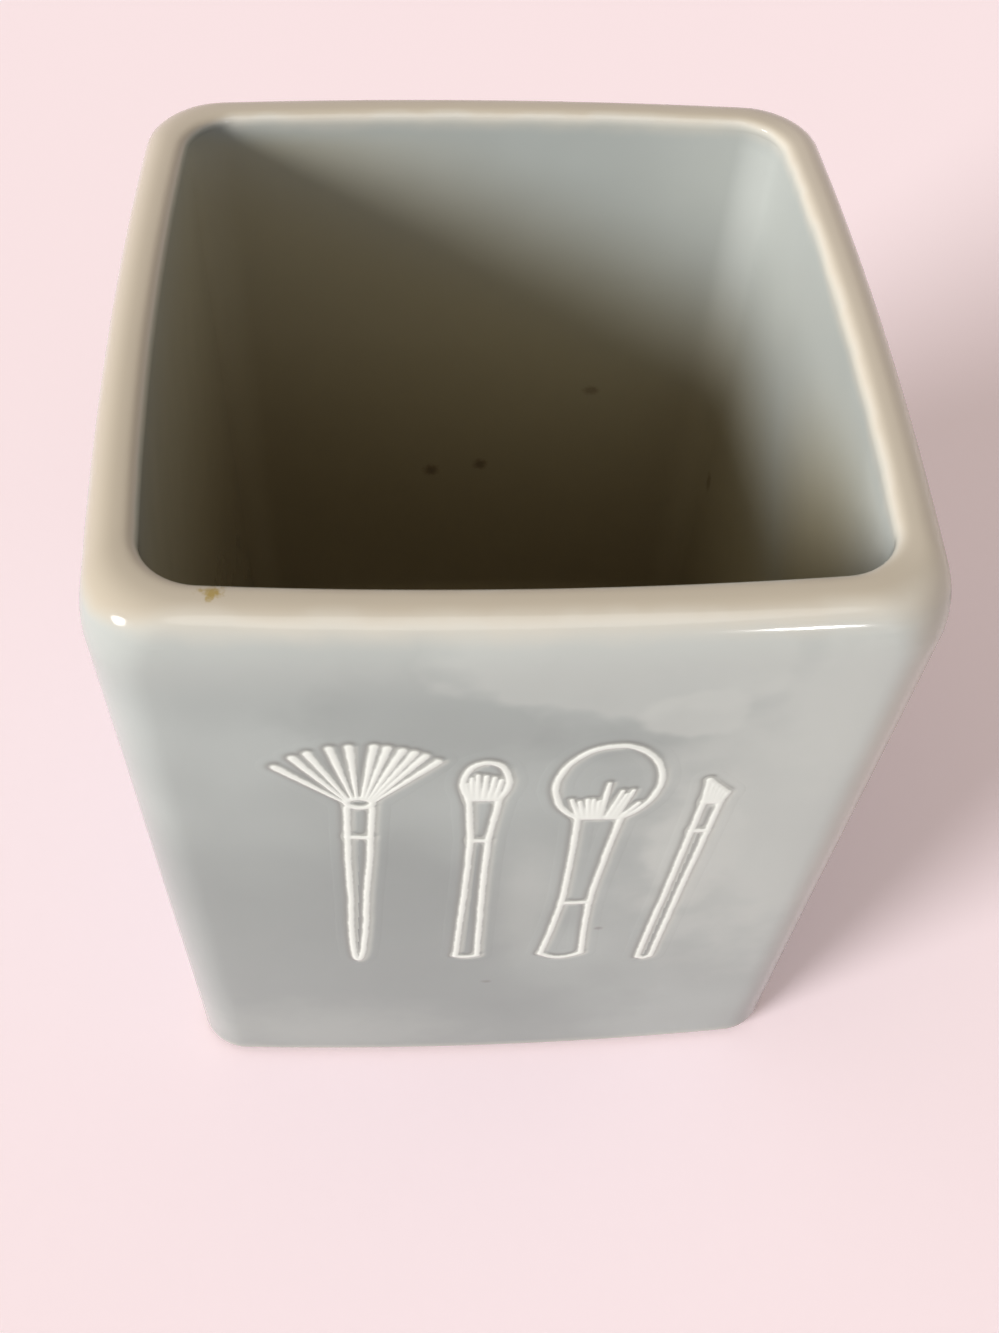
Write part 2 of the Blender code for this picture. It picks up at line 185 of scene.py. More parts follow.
def lip_levels(depth):
    """The lip: a long roll outside and a tight one inside, each a quarter of a squared ellipse."""
    levels = []
    for step in range(2 * lip_steps + 1):
        angle = math.pi / 2 * step / lip_steps
        outside = step < lip_steps
        reach = lip_crest_inset if outside else wall_thickness - lip_crest_inset
        drop = lip_outer_drop if outside else lip_inner_drop
        across = abs(math.cos(angle)) ** (2 / lip_squareness)
        up = math.sin(angle) ** (2 / lip_squareness)
        inset = lip_crest_inset - math.copysign((reach - depth) * across, math.cos(angle))
        z = pot_height - drop + (drop - depth) * up
        levels.append((inset, wall_corner_radius(inset) + lip_corner_growth * up, z))
    return levels


def floor_levels(depth):
    """The round fillet from the inner wall to the flat floor, its corners growing rounder."""
    radius = floor_fillet_radius + depth
    wall_radius = wall_corner_radius(wall_thickness - depth)
    levels = []
    for share in np.linspace(0.0, 1.0, floor_steps + 1):
        angle = math.pi / 2 * share
        inset = wall_thickness + floor_fillet_radius - radius * math.cos(angle)
        z = floor_height + floor_fillet_radius - radius * math.sin(angle)
        levels.append((inset, wall_radius + (floor_corner_radius - wall_radius) * share, z))
    return levels


def skin_levels(depth, wrap_deg):
    """The pot's surface, depth under its outermost skin, from the base edge to the floor."""
    base, lip, well = base_edge_levels(depth, wrap_deg), lip_levels(depth), floor_levels(depth)
    outside = plumb_levels(depth, base[-1][2], lip[0][2])
    inside = plumb_levels(wall_thickness - depth, lip[-1][2], well[0][2])
    return base + outside + lip + inside + well


print(f"{len(skin_levels(0.0, glaze_wrap_deg))} levels in the glazed skin")

# %% [markdown]
# ## Small unevenness
#
# A perfectly true surface looks like plastic. Cast walls wander by a tenth of a millimetre, and it
# shows in how a gloss bends its reflections. A slow noise pushes the skin inwards only, so that the
# pot never grows past its solid, and it fades out at the foot, which is ground flat.

# %% How far the skin wanders
wander_depth = 0.00014
wander_size = 0.028
foot_fade_height = 0.004


def wander(x, y, z):
    """How far the skin lies inside its true place at a point."""
    drift = noise.noise(Vector((x, y, z)) / wander_size)
    return wander_depth * (0.5 + 0.5 * drift) * min(1.0, z / foot_fade_height)


def settled(x, y, z, inset):
    """A point of the skin moved into the wall: inwards on the outside, outwards on the inside."""
    facing = max(-1.0, 1.0 - 2 * inset / wall_thickness)
    shrink = 1.0 - facing * wander(x, y, z) / max(abs(x), abs(y))
    return Vector((x * shrink, y * shrink, z))


def front_face_y(x, z):
    """Where the glazed front face lies, unevenness and all."""
    _, arc_centre, bow_radius = bowed_side(0.0, outer_corner_radius)
    y = -(arc_centre + math.sqrt((bow_radius + outer_corner_radius)**2 - x**2))
    return y + wander(x, y, z)


print(f"the skin wanders by up to {wander_depth / millimetre:.2f} mm")

# %% [markdown]
# ## Lofting the pot
#
# The loft starts as a circle of edges. Its corners are laid on the first outline, then the ring is
# extruded and laid on the next one, and so on up the wall, over the lip and down to the floor, where
# the last ring is filled. By hand this is extrude and scale, over and over.
#
# Each corner also keeps two numbers for the glaze. lip_run is how far along the profile it lies
# from the crest of the lip, in millimetres, below zero on the outside. corner_turn is 1 in the
# middle of an upright corner and 0 on the flat sides.

# %% One ring after another
skin_numbers = ("lip_run", "corner_turn")


def lay_ring(mesh, level, run):
    """Move the selected ring of corners on to the outline of this level."""
    inset, corner_radius, z = level
    bm = bmesh.from_edit_mesh(mesh)
    run_layer, turn_layer = [bm.verts.layers.float[name] for name in skin_numbers]
    ring = sorted((v for v in bm.verts if v.select), key=lambda v: math.atan2(v.co.y, v.co.x))
    corner_centre = bowed_side(inset, corner_radius)[0]
    for vert, (x, y) in zip(ring, square_ring(inset, corner_radius)):
        vert.co = settled(x, y, z, inset)
        vert[run_layer] = run / millimetre
        past_side = max(0.0, min(abs(x), abs(y)) - corner_centre)
        vert[turn_layer] = past_side / (corner_radius * math.sin(math.pi / 4))
    bmesh.update_edit_mesh(mesh)


def profile_runs(levels):
    """How far each level lies from the crest of the lip, along the profile."""
    steps = [math.hypot(b[0] - a[0], b[2] - a[2]) for a, b in zip(levels, levels[1:])]
    runs = np.concatenate([[0.0], np.cumsum(steps)])
    return runs - runs[max(range(len(levels)), key=lambda i: levels[i][2])]


def lofted_pot(name, levels, close_foot):
    """A sheet extruded ring by ring through the levels, its floor filled."""
    bpy.ops.mesh.primitive_circle_add(vertices=ring_count, radius=pot_width / 2)
    piece = bpy.context.object
    piece.name = piece.data.name = name
    for number_name in skin_numbers:
        piece.data.attributes.new(number_name, "FLOAT", "POINT")
    bpy.ops.object.mode_set(mode="EDIT")
    bpy.ops.mesh.select_all(action="SELECT")
    for place, (level, run) in enumerate(zip(levels, profile_runs(levels))):
        if place:
            bpy.ops.mesh.extrude_edges_move()
        elif close_foot:
            bpy.ops.mesh.edge_face_add()
        lay_ring(piece.data, level, run)
    bpy.ops.mesh.edge_face_add()
    bpy.ops.mesh.select_all(action="SELECT")
    bpy.ops.mesh.normals_make_consistent(inside=False)
    bpy.ops.object.mode_set(mode="OBJECT")
    return piece


# %% [markdown]
# ## The coat of glaze
#
# The glaze is a skin of glass about 0.4 mm thick. The loft makes its outer surface, and a Solidify
# modifier gives it its thickness inwards. Its lower edge, just above the foot, is where the wet
# glaze was sponged off. An open sheet has no inside, so its first face tells which way is out.

# %% Model the glaze coat
sharp_edge = math.radians(50)


def give_thickness(piece, thickness):
    """Turn the active sheet into a closed wall that grows inwards from it."""
    wall = piece.modifiers.new("wall", "SOLIDIFY")
    wall.thickness = thickness
    wall.offset = -1.0
    wall.use_even_offset = True
    bpy.ops.object.modifier_apply(modifier=wall.name)


def face_outwards(piece):
    """Turn a sheet's faces over if its first one looks towards the middle of the pot."""
    first = piece.data.polygons[0]
    if first.normal.dot(first.center) < 0:
        piece.data.flip_normals()


glaze_coat = lofted_pot("grey_glaze_coat", skin_levels(0.0, glaze_wrap_deg), close_foot=False)
face_outwards(glaze_coat)
give_thickness(glaze_coat, glaze_thickness)
bpy.ops.object.shade_smooth_by_angle(angle=sharp_edge)
print("glaze coat:", [round(side / millimetre, 2) for side in glaze_coat.dimensions], "mm")

# %% [markdown]
# ## The clay body
#
# Only the foot of the clay shows, wiped clean so that it would not stick to the kiln shelf. The
# loft starts in the shallow recess under the pot, goes over the flat foot ring and up into the same
# profile as the glaze, one glaze thickness further in.

# %% Model the clay body
foot_width = 0.0055
foot_corner_radius = 0.0060
foot_softness = 0.0004
recess_depth = 0.0012
recess_slope_width = 0.0009
clay_wrap_deg = 90.0


def foot_levels():
    """The underside, from the middle of the recess out to the flat foot."""
    foot_inner = base_edge_radius + foot_width
    slope_end = foot_inner + recess_slope_width
    return [
        (slope_end + foot_softness, foot_corner_radius, recess_depth),
        (slope_end, foot_corner_radius, recess_depth - foot_softness / 4),
        (foot_inner, foot_corner_radius, foot_softness / 4),
        (foot_inner - foot_softness, foot_corner_radius, 0.0),
    ]


clay_levels = foot_levels() + skin_levels(clay_depth, clay_wrap_deg)
clay_body = lofted_pot("bare_clay_body", clay_levels, close_foot=True)
bpy.ops.object.shade_smooth_by_angle(angle=sharp_edge)
print("clay body:", [round(side / millimetre, 2) for side in clay_body.dimensions], "mm")

# %% [markdown]
# ## The drawn brushes, stroke by stroke
#
# The drawings are strokes of a fine nozzle. A stroke is a row of points in the brush's own plane,
# across it and up from its bottom, with a width at its start and one at its end. Points are written
# as shares of the brush's sizes and then smoothed, so an outline needs only a few.

# %% Curves for the strokes
line_half_width = 0.00046
curve_steps = 6
crossing_share = 0.8
bristle_width_shares = (1.1, 0.72)


def smooth_through(points):
    """A Catmull-Rom curve through the points."""
    padded = [2 * points[0] - points[1], *points, 2 * points[-1] - points[-2]]
    curve = []
    for a, b, c, d in zip(padded, padded[1:], padded[2:], padded[3:]):
        for step in range(curve_steps):
            t = step / curve_steps
            curve.append(
                0.5 * (2 * b + (c - a) * t + (2 * a - 5 * b + 4 * c - d) * t**2
                       + (3 * b - a - 3 * c + d) * t**3)
            )
    return [*curve, points[-1].copy()]


def arc(centre, width, height, start_deg, end_deg):
    """Points on an ellipse of the given full width and height, both ends included."""
    angles = np.radians(np.linspace(start_deg, end_deg, 12 * curve_steps + 1))
    return [centre + Vector((width / 2 * math.cos(a), height / 2 * math.sin(a))) for a in angles]


def side_points(shares, low, high, narrow, wide):
    """Points up the right side, between two heights and between two full widths."""
    return [
        Vector(((narrow + width_share * (wide - narrow)) / 2, low + length_share * (high - low)))
        for length_share, width_share in shares
    ]


def mirrored(points):
    """The same stroke on the brush's other side."""
    return [Vector((-point.x, point.y)) for point in points]


def outline(points):
    """A stroke of even width."""
    return points, 1.0, 1.0


def both_sides(points):
    """The same even stroke on the left and on the right."""
    return [outline(points), outline(mirrored(points))]


def straight_sides(low, high, low_width, high_width):
    """An even straight stroke on each side, such as a ferrule's."""
    return both_sides(side_points(((0.0, 0.0), (1.0, 1.0)), low, high, low_width, high_width))


def crossing_line(width, height):
    """An even straight stroke across the brush, a little short of the lines that it joins."""
    half = crossing_share * width / 2
    return outline([Vector((-half, height)), Vector((half, height))])


def pointed_handle(side):
    """One even stroke down the left of a handle, round its point and up the right."""
    return [outline(smooth_through(mirrored(side)[:0:-1] + side))]


def blunt_handle(side):
    """Both sides of a handle, and the stroke that closes its bottom, lowest in the middle."""
    corner = side[0]
    shares = np.linspace(-1.0, 1.0, 2 * curve_steps + 1)
    bottom = [Vector((share * corner.x, share**2 * corner.y)) for share in shares]
    return both_sides(smooth_through(side)) + [outline(bottom)]


def bristles(shares, base_width, tip_width, base_height, tip_height):
    """Straight strokes that stand on the ferrule, fat at the base and thin at the tip."""
    strokes = []
    for base_share, tip_share, height_share in shares:
        base = Vector((base_share * base_width / 2, base_height))
        tip = Vector((tip_share * tip_width / 2, base_height + height_share * tip_height))
        strokes.append(([base, tip], *bristle_width_shares))
    return strokes


print(f"a stroke is {2 * line_half_width / millimetre:.2f} mm wide")

# %% [markdown]
# ### The fan brush
#
# A tapered handle, a short ferrule with an oval mouth, and eleven rays. The rays spread further
# apart on the left than on the right, as the hand that drew them did, and swell towards their ends.

# %% Strokes of the fan brush
fan_handle_length = 0.0319
fan_handle_width = 0.0025
fan_ferrule_length = 0.0064
fan_ferrule_width = 0.0027
fan_mouth_height = 0.0019
fan_radius = 0.0119
fan_right_growth = 0.035
fan_spread_deg = 43.5
fan_ray_shares = (-1.10, -0.81, -0.61, -0.34, -0.12, 0.15, 0.30, 0.47, 0.61, 0.74, 0.92)
fan_handle_shares = (
    (0.0, 0.0), (0.03, 0.30), (0.12, 0.52), (0.30, 0.69), (0.55, 0.74), (0.80, 0.92), (1.0, 1.0),
)
fan_ray_width_shares = (0.5, 1.25)


def fan_brush_strokes():
    """Handle, ferrule, mouth and rays."""
    band, ferrule_top = fan_handle_length, fan_handle_length + fan_ferrule_length
    mouth_centre = Vector((0.0, ferrule_top + fan_mouth_height / 2))
    strokes = pointed_handle(side_points(fan_handle_shares, 0.0, band, 0.0, fan_handle_width))
    strokes += straight_sides(band, ferrule_top, fan_handle_width, fan_ferrule_width)
    mouth = arc(mouth_centre, fan_ferrule_width, fan_mouth_height, 0, 360)
    strokes += [crossing_line(fan_handle_width, band), outline(mouth)]
    for share in fan_ray_shares:
        start_angle = math.pi / 2 * share
        end_angle = math.radians(fan_spread_deg) * share
        start = mouth_centre + Vector((
            fan_ferrule_width / 2 * math.sin(start_angle),
            fan_mouth_height / 2 * math.cos(start_angle),
        ))
        radius = fan_radius * (1 + fan_right_growth * share)
        end = Vector((radius * math.sin(end_angle), ferrule_top + radius * math.cos(end_angle)))
        strokes.append(([start, end], *fan_ray_width_shares))
    return strokes


print(f"fan brush: {len(fan_brush_strokes())} strokes")

# %% [markdown]
# ### The eyeshadow brush
#
# A slim handle that widens to a flat bottom, a flared ferrule and a domed head that is half full
# of bristles.

# %% Strokes of the eyeshadow brush
shadow_handle_length = 0.0306
shadow_handle_bottom_width = 0.0027
shadow_handle_sag = 0.0004
shadow_band_width = 0.0019
shadow_ferrule_length = 0.0090
shadow_ferrule_width = 0.0032
shadow_head_width = 0.0048
shadow_head_height = 0.0072
shadow_handle_shares = ((0.0, 1.0), (0.22, 0.72), (0.5, 0.36), (0.8, 0.06), (1.0, 0.0))
shadow_head_shares = ((0.0, 0.66), (0.25, 0.93), (0.56, 0.97), (0.89, 0.62), (1.0, 0.0))
shadow_bristle_shares = (
    (-0.95, -0.84, 0.42), (-0.75, -0.62, 0.58), (-0.42, -0.36, 0.66),
    (-0.05, 0.0, 0.63), (0.32, 0.36, 0.58), (0.68, 0.66, 0.52),
)


def shadow_brush_strokes():
    """Handle, ferrule, domed head and bristles."""
    band, ferrule_top = shadow_handle_length, shadow_handle_length + shadow_ferrule_length
    head_top = ferrule_top + shadow_head_height
    head_side = side_points(shadow_head_shares, ferrule_top, head_top, 0.0, shadow_head_width)
    strokes = blunt_handle(side_points(
        shadow_handle_shares, shadow_handle_sag, band, shadow_band_width, shadow_handle_bottom_width,
    ))
    strokes += straight_sides(band, ferrule_top, shadow_band_width, shadow_ferrule_width)
    strokes.append(outline(smooth_through(head_side + mirrored(head_side)[-2::-1])))
    strokes.append(crossing_line(shadow_band_width, band))
    strokes.append(crossing_line(shadow_ferrule_width, ferrule_top))
    return strokes + bristles(
        shadow_bristle_shares, shadow_ferrule_width, shadow_head_width, ferrule_top, shadow_head_height,
    )


print(f"eyeshadow brush: {len(shadow_brush_strokes())} strokes")

# %% [markdown]
# ### The powder brush
#
# The largest one: a flared handle, a waist with a band, and a round head. Its head is an arc of an
# ellipse that is cut off where it meets the ferrule, so its centre follows from the widths of both.

# %% Strokes of the powder brush
powder_bottom_width = 0.0053
powder_bottom_sag = 0.0012
powder_waist_width = 0.0034
powder_ferrule_width = 0.0048
powder_handle_length = 0.0361
powder_band_height = 0.0156
powder_head_width = 0.0111
powder_head_height = 0.0143
powder_flare_shares = ((0.0, 1.0), (0.21, 0.38), (0.42, 0.0))
powder_neck_shares = ((0.56, 0.08), (0.70, 0.28), (0.85, 0.58), (1.0, 1.0))
powder_bristle_shares = (
    (-0.92, -1.46, 0.26), (-0.72, -1.08, 0.23), (-0.50, -0.73, 0.26), (-0.30, -0.46, 0.26),
    (-0.12, -0.19, 0.24), (0.02, 0.04, 0.49), (0.36, 0.73, 0.38), (0.55, 0.95, 0.33),
    (0.72, 1.20, 0.39), (0.95, 1.62, 0.20),
)


def powder_brush_strokes():
    """Handle and ferrule in one, band, round head and bristles."""
    low, top, waist = powder_bottom_sag, powder_handle_length, powder_waist_width
    side = side_points(powder_flare_shares, low, top, waist, powder_bottom_width)
    side += side_points(powder_neck_shares, low, top, waist, powder_ferrule_width)
    mouth_angle = math.acos(powder_ferrule_width / powder_head_width)
    half_head = powder_head_height / (1 + math.sin(mouth_angle))
    head_centre = Vector((0.0, top + powder_head_height - half_head))
    mouth_deg = math.degrees(mouth_angle)
    head = arc(head_centre, powder_head_width, 2 * half_head, -mouth_deg, 180 + mouth_deg)
    strokes = blunt_handle(side) + [outline(head), crossing_line(waist, powder_band_height)]
    strokes.append(crossing_line(powder_ferrule_width, top))
    return strokes + bristles(
        powder_bristle_shares, powder_ferrule_width, powder_ferrule_width, top, powder_head_height,
    )


print(f"powder brush: {len(powder_brush_strokes())} strokes")

# %% [markdown]
# ### The angled liner brush
#
# A slim stick with a slanted tip, all of one width but for its splayed bristles.

# %% Strokes of the angled liner brush
angled_handle_length = 0.0337
angled_handle_width = 0.0018
angled_ferrule_length = 0.0063
angled_tip_width = 0.0025
angled_long_side = 0.0045
angled_short_side = 0.0018
angled_handle_shares = (
    (0.0, 0.0), (0.012, 0.66), (0.04, 0.94), (0.30, 0.96), (0.65, 0.94), (1.0, 1.0),
)
angled_bristle_shares = (-0.55, -0.15, 0.25, 0.6)


def angled_brush_strokes():
    """Handle, ferrule, slanted tip and bristles."""
    band, ferrule_top = angled_handle_length, angled_handle_length + angled_ferrule_length
    half = angled_handle_width / 2
    long_corner = Vector((-angled_tip_width / 2, ferrule_top + angled_long_side))
    short_corner = Vector((angled_tip_width / 2, ferrule_top + angled_short_side))
    strokes = pointed_handle(side_points(angled_handle_shares, 0.0, band, 0.0, angled_handle_width))
    strokes += straight_sides(band, ferrule_top, angled_handle_width, angled_handle_width)
    strokes += [crossing_line(angled_handle_width, height) for height in (band, ferrule_top)]
    tip = [Vector((-half, ferrule_top)), long_corner, short_corner, Vector((half, ferrule_top))]
    strokes += [outline([start, end]) for start, end in zip(tip, tip[1:])]
    for share in angled_bristle_shares:
        end = long_corner.lerp(short_corner, (1 + share) / 2)
        strokes.append(([Vector((share * half, ferrule_top)), end], *bristle_width_shares))
    return strokes


print(f"angled brush: {len(angled_brush_strokes())} strokes")

# %% [markdown]
# ## From strokes to a raised sheet
#
# Glaze melts over a line and rounds it off, and lines that lie close run into one another. A
# bevelled curve for each stroke would keep every crossing sharp, so each drawing is one fine grid on
# the face, and every point of it asks how close the strokes are. Each adds a bell-shaped share, and
# the shares are joined by adding their powers and taking the root, so lines that meet don't bulge.
# The result, line_weight, lifts the grid. Beyond the lines it dips just under the pot's own glaze.
#
# line_glow is wider and softer, for the glaze beside a line. The third number tells on which side
# of a line a point lies, for painted shade on its upper left and painted light on its lower right.

# %% Field of the strokes
glow_spread = 2.5
glow_reach = 0.0019
melt_power = 4.0
glow_power = 2.5
dip_start = 0.0016
sheet_reach = 0.0024
# towards a line's lower right, where light is painted; shade is painted on its upper left
shade_side_direction = np.array([0.75, -0.66])
wobble_size = 0.0022
wobble_reach = 0.00007
wobble_offset = Vector((31.0, 17.0, 5.0))


def wobbled(point):
    """A point nudged a little, as by an unsteady hand."""
    place = Vector((point.x, point.y, 0.0)) / wobble_size
    nudge = Vector((noise.noise(place), noise.noise(place + wobble_offset)))
    return point + nudge * wobble_reach


def placed_segments(strokes, foot, lean_deg):
    """Every stroke as rows of start, end and the two half widths, leant over and put on the face."""
    lean = Matrix.Rotation(math.radians(-lean_deg), 2)
    placed = []
    for points, start_share, end_share in strokes:
        spots = [foot + lean @ wobbled(point) for point in points]
        widths = np.linspace(start_share, end_share, len(spots)) * line_half_width
        placed.append(np.array([
            (*a, *b, first, second)
            for a, b, first, second in zip(spots, spots[1:], widths, widths[1:])
        ]))
    return placed


def nearest_on_stroke(places, segments):
    """For each place: its offset from the stroke's nearest point, and the half width there."""
    start, end = segments[:, 0:2], segments[:, 2:4]
    along = end - start
    offset = places[:, None, :] - start
    share = np.clip((offset * along).sum(2) / (along**2).sum(1), 0.0, 1.0)
    offset = offset - share[:, :, None] * along
    width = segments[:, 4] + share * (segments[:, 5] - segments[:, 4])
    distance = np.hypot(offset[:, :, 0], offset[:, :, 1])
    best = np.argmin(distance / width, axis=1)
    rows = np.arange(len(places))
    return offset[rows, best], distance[rows, best], width[rows, best]


def smooth_share(values, start, end):
    """A smooth step from 0 to 1 as the values go from start to end."""
    share = np.clip((values - start) / (end - start), 0.0, 1.0)
    return share * share * (3 - 2 * share)


def stroke_field(places, placed_strokes):
    """line_weight, line_glow and line_shade_side at every place, and how far the nearest stroke is."""
    weight, glow, lee = np.zeros(len(places)), np.zeros(len(places)), np.zeros(len(places))
    nearest = np.full(len(places), sheet_reach)
    for segments in placed_strokes:
        offset, distance, width = nearest_on_stroke(places, segments)
        weight += np.exp(-melt_power * (distance / width)**2)
        soft = np.exp(-glow_power * (distance / (glow_spread * width))**2)
        glow += soft
        lee += soft * (offset @ shade_side_direction) / np.maximum(distance, line_half_width)
        nearest = np.minimum(nearest, distance)
    fade = 1.0 - smooth_share(nearest, line_half_width, glow_reach)
    lee /= np.maximum(glow, 1e-6)
    return weight**(1 / melt_power), glow**(1 / glow_power) * fade, lee, nearest


print(f"strokes melt together within {2 * line_half_width / millimetre:.2f} mm")

# %% [markdown]
# The grid is Blender's own Grid primitive, stood up against the face. Its points are pushed out by
# the field, those that no stroke reaches are deleted, and Solidify turns the rest into a thin closed
# body inside the glaze.

# %% A grid raised by the field
grid_cell = 0.00014
line_rise = 0.00020
sheet_lift = 0.000010
sheet_dip = 0.000014
sheet_thickness = 0.00015
line_numbers = ("line_weight", "line_glow", "line_shade_side")


def standing_grid(name, low, high):
    """A fine grid in the plane of the front, between two corners given as x and z."""
    size = high - low
    middle = (low + high) / 2
    bpy.ops.mesh.primitive_grid_add(
        x_subdivisions=round(size[0] / grid_cell), y_subdivisions=round(size[1] / grid_cell),
        size=1.0, location=(middle[0], 0.0, middle[1]), rotation=(math.pi / 2, 0.0, 0.0),
    )
    sheet = bpy.context.object
    sheet.name = sheet.data.name = name
    sheet.scale = (size[0], size[1], 1.0)
    bpy.ops.object.transform_apply(location=True, rotation=True, scale=True)
    return sheet


def trim_to_strokes(sheet, keep):
    """Delete the points that no stroke reaches."""
    bpy.ops.object.mode_set(mode="EDIT")
    bpy.ops.mesh.select_all(action="DESELECT")
    bpy.ops.object.mode_set(mode="OBJECT")
    sheet.data.vertices.foreach_set("select", ~keep)
    bpy.ops.object.mode_set(mode="EDIT")
    bpy.ops.mesh.delete(type="VERT")
    bpy.ops.object.mode_set(mode="OBJECT")


def raised_drawing(name, strokes, x_share, bottom_share, lean_deg):
    """A drawing as a closed raised sheet that follows the bowed front face."""
    foot = Vector((x_share * pot_width, bottom_share * pot_height))
    placed = placed_segments(strokes, foot, lean_deg)
    ends = np.vstack(placed)[:, 0:4].reshape(-1, 2)
    sheet = standing_grid(name, ends.min(0) - sheet_reach, ends.max(0) + sheet_reach)
    corners = np.empty(3 * len(sheet.data.vertices))
    sheet.data.vertices.foreach_get("co", corners)
    corners = corners.reshape(-1, 3)
    places = corners[:, [0, 2]]
    weight, glow, lee, nearest = stroke_field(places, placed)
    dip = smooth_share(nearest, dip_start, sheet_reach)
    face = np.array([front_face_y(x, z) for x, z in places])
    corners[:, 1] = face - line_rise * np.tanh(weight) - sheet_lift + (sheet_lift + sheet_dip) * dip
    sheet.data.vertices.foreach_set("co", corners.ravel())
    for number_name, values in zip(line_numbers, (weight, glow, lee)):
        sheet.data.attributes.new(number_name, "FLOAT", "POINT").data.foreach_set("value", values)
    trim_to_strokes(sheet, nearest < sheet_reach)
    give_thickness(sheet, sheet_thickness)
    bpy.ops.object.shade_smooth_by_angle(angle=sharp_edge)
    print(f"{name}: {len(sheet.data.vertices)} points")
    return sheet


# %% [markdown]
# Each drawing stands at a share of the pot's width, counted from the middle of the front, and at a
# share of its height, and leans a few degrees to the right.

# %% Raise the four drawings
drawing_rows = (
    ("fan_brush", fan_brush_strokes(), -0.2096, 0.3228, 2.15),
    ("eyeshadow_brush", shadow_brush_strokes(), -0.0488, 0.3248, 1.3),
    ("powder_brush", powder_brush_strokes(), 0.0942, 0.3139, 2.3),
    ("angled_brush", angled_brush_strokes(), 0.2250, 0.2981, 3.4),
)
drawings = {
    f"{name}_relief": raised_drawing(f"{name}_lines", strokes, x_share, bottom_share, lean_deg)
    for name, strokes, x_share, bottom_share, lean_deg in drawing_rows
}

# %% [markdown]
# ## Nodes for the finishes
#
# Materials are node trees, built with a few helpers. All patterns read Object coordinates, and every
# finished piece sits at the origin, so a pattern runs on from the pot to its raised lines without a
# seam.

# %% Helpers for node trees
def add_node(tree, kind, inputs=None, **settings):
    """A new node with its settings made and its sockets filled with values or links."""
    node = tree.nodes.new(kind)
    for name, value in settings.items():
        setattr(node, name, value)
    for name, value in (inputs or {}).items():
        if isinstance(value, bpy.types.NodeSocket):
            tree.links.new(value, node.inputs[name])
        else:
            node.inputs[name].default_value = value
    return node


def ramp(tree, value, start, end, low=0.0, high=1.0):
    """A smooth step from low to high as the value goes from start to end."""
    inputs = {"Value": value, "From Min": start, "From Max": end, "To Min": low, "To Max": high}
    return add_node(tree, "ShaderNodeMapRange", inputs, interpolation_type="SMOOTHSTEP").outputs[0]


def maths(tree, operation, first, *others):
    """The sum of several numbers, their product or the largest of them, as the operation says."""
    for other in others:
        first = add_node(tree, "ShaderNodeMath", {0: first, 1: other}, operation=operation).outputs[0]
    return first


def across_and_height(tree):
    """How far to the right and how high a point lies on the object, in metres."""
    place = add_node(tree, "ShaderNodeTexCoord").outputs["Object"]
    axes = add_node(tree, "ShaderNodeSeparateXYZ", {0: place}).outputs
    return axes["X"], axes["Z"]


def counted_place(tree, centre, radii):
    """A point's offset from a centre, counted in radii."""
    place = add_node(tree, "ShaderNodeTexCoord").outputs["Object"]
    inputs = {"Vector": place, "Location": centre, "Scale": radii}
    return add_node(tree, "ShaderNodeMapping", inputs, vector_type="TEXTURE").outputs[0]


def noise_value(tree, size, detail):
    """A noise from 0 to 1 whose blots are about this size."""
    place = counted_place(tree, (0.0, 0.0, 0.0), (size, size, size))
    inputs = {"Vector": place, "Scale": 1.0, "Detail": detail}
    return add_node(tree, "ShaderNodeTexNoise", inputs).outputs[0]


def wavering(tree, size, detail, reach, band=(0.3, 0.7)):
    """A slow noise from -reach to reach, for edges that meander."""
    return ramp(tree, noise_value(tree, size, detail), *band, -reach, reach)


def laid_over(tree, paint, *layers):
    """The paint with other tones laid over it in turn, each by its share from 0 to 1."""
    for share, tone in layers:
        inputs = {"Factor": share, 6: paint, 7: tone}
        paint = add_node(tree, "ShaderNodeMix", inputs, data_type="RGBA").outputs[2]
    return paint


def colour(red, green, blue):
    """A linear colour for a socket."""
    return (red, green, blue, 1.0)


def point_numbers(tree, names):
    """Numbers that the mesh keeps at its points, by name."""
    return {
        name: add_node(tree, "ShaderNodeAttribute", attribute_name=name).outputs["Fac"]
        for name in names
    }


def band_shares(tree, numbers, bands):
    """Each band as ramps of named numbers, multiplied."""
    return {
        band: maths(tree, "MULTIPLY", *[ramp(tree, numbers[name], *limits) for name, *limits in rows])
        for band, rows in bands.items()
    }


def soft_spot(tree, centre, radii, edge_share, ragged=None):
    """1 inside an ellipsoid on the object, 0 outside it, with a soft and perhaps ragged edge."""
    inputs = {0: counted_place(tree, centre, radii)}
    distance = add_node(tree, "ShaderNodeVectorMath", inputs, operation="LENGTH").outputs["Value"]
    if ragged:
        size, reach = ragged
        distance = maths(tree, "ADD", distance, wavering(tree, size, 2.0, reach, (0.25, 0.75)))
    return ramp(tree, distance, 1.0 + edge_share, 1.0 - edge_share)


def spotted(tree, paint, spots, tone, ragged):
    """The paint with soft spots of a tone laid over it, each at its own strength."""
    return laid_over(tree, paint, *[
        (maths(tree, "MULTIPLY", soft_spot(tree, *place, ragged), strength), tone)
        for *place, strength in spots
    ])


shared_constants = {
    "IOR": 1.5, "Sheen Roughness": 0.15, "Sheen Tint": colour(1.0, 0.90, 0.84),
}


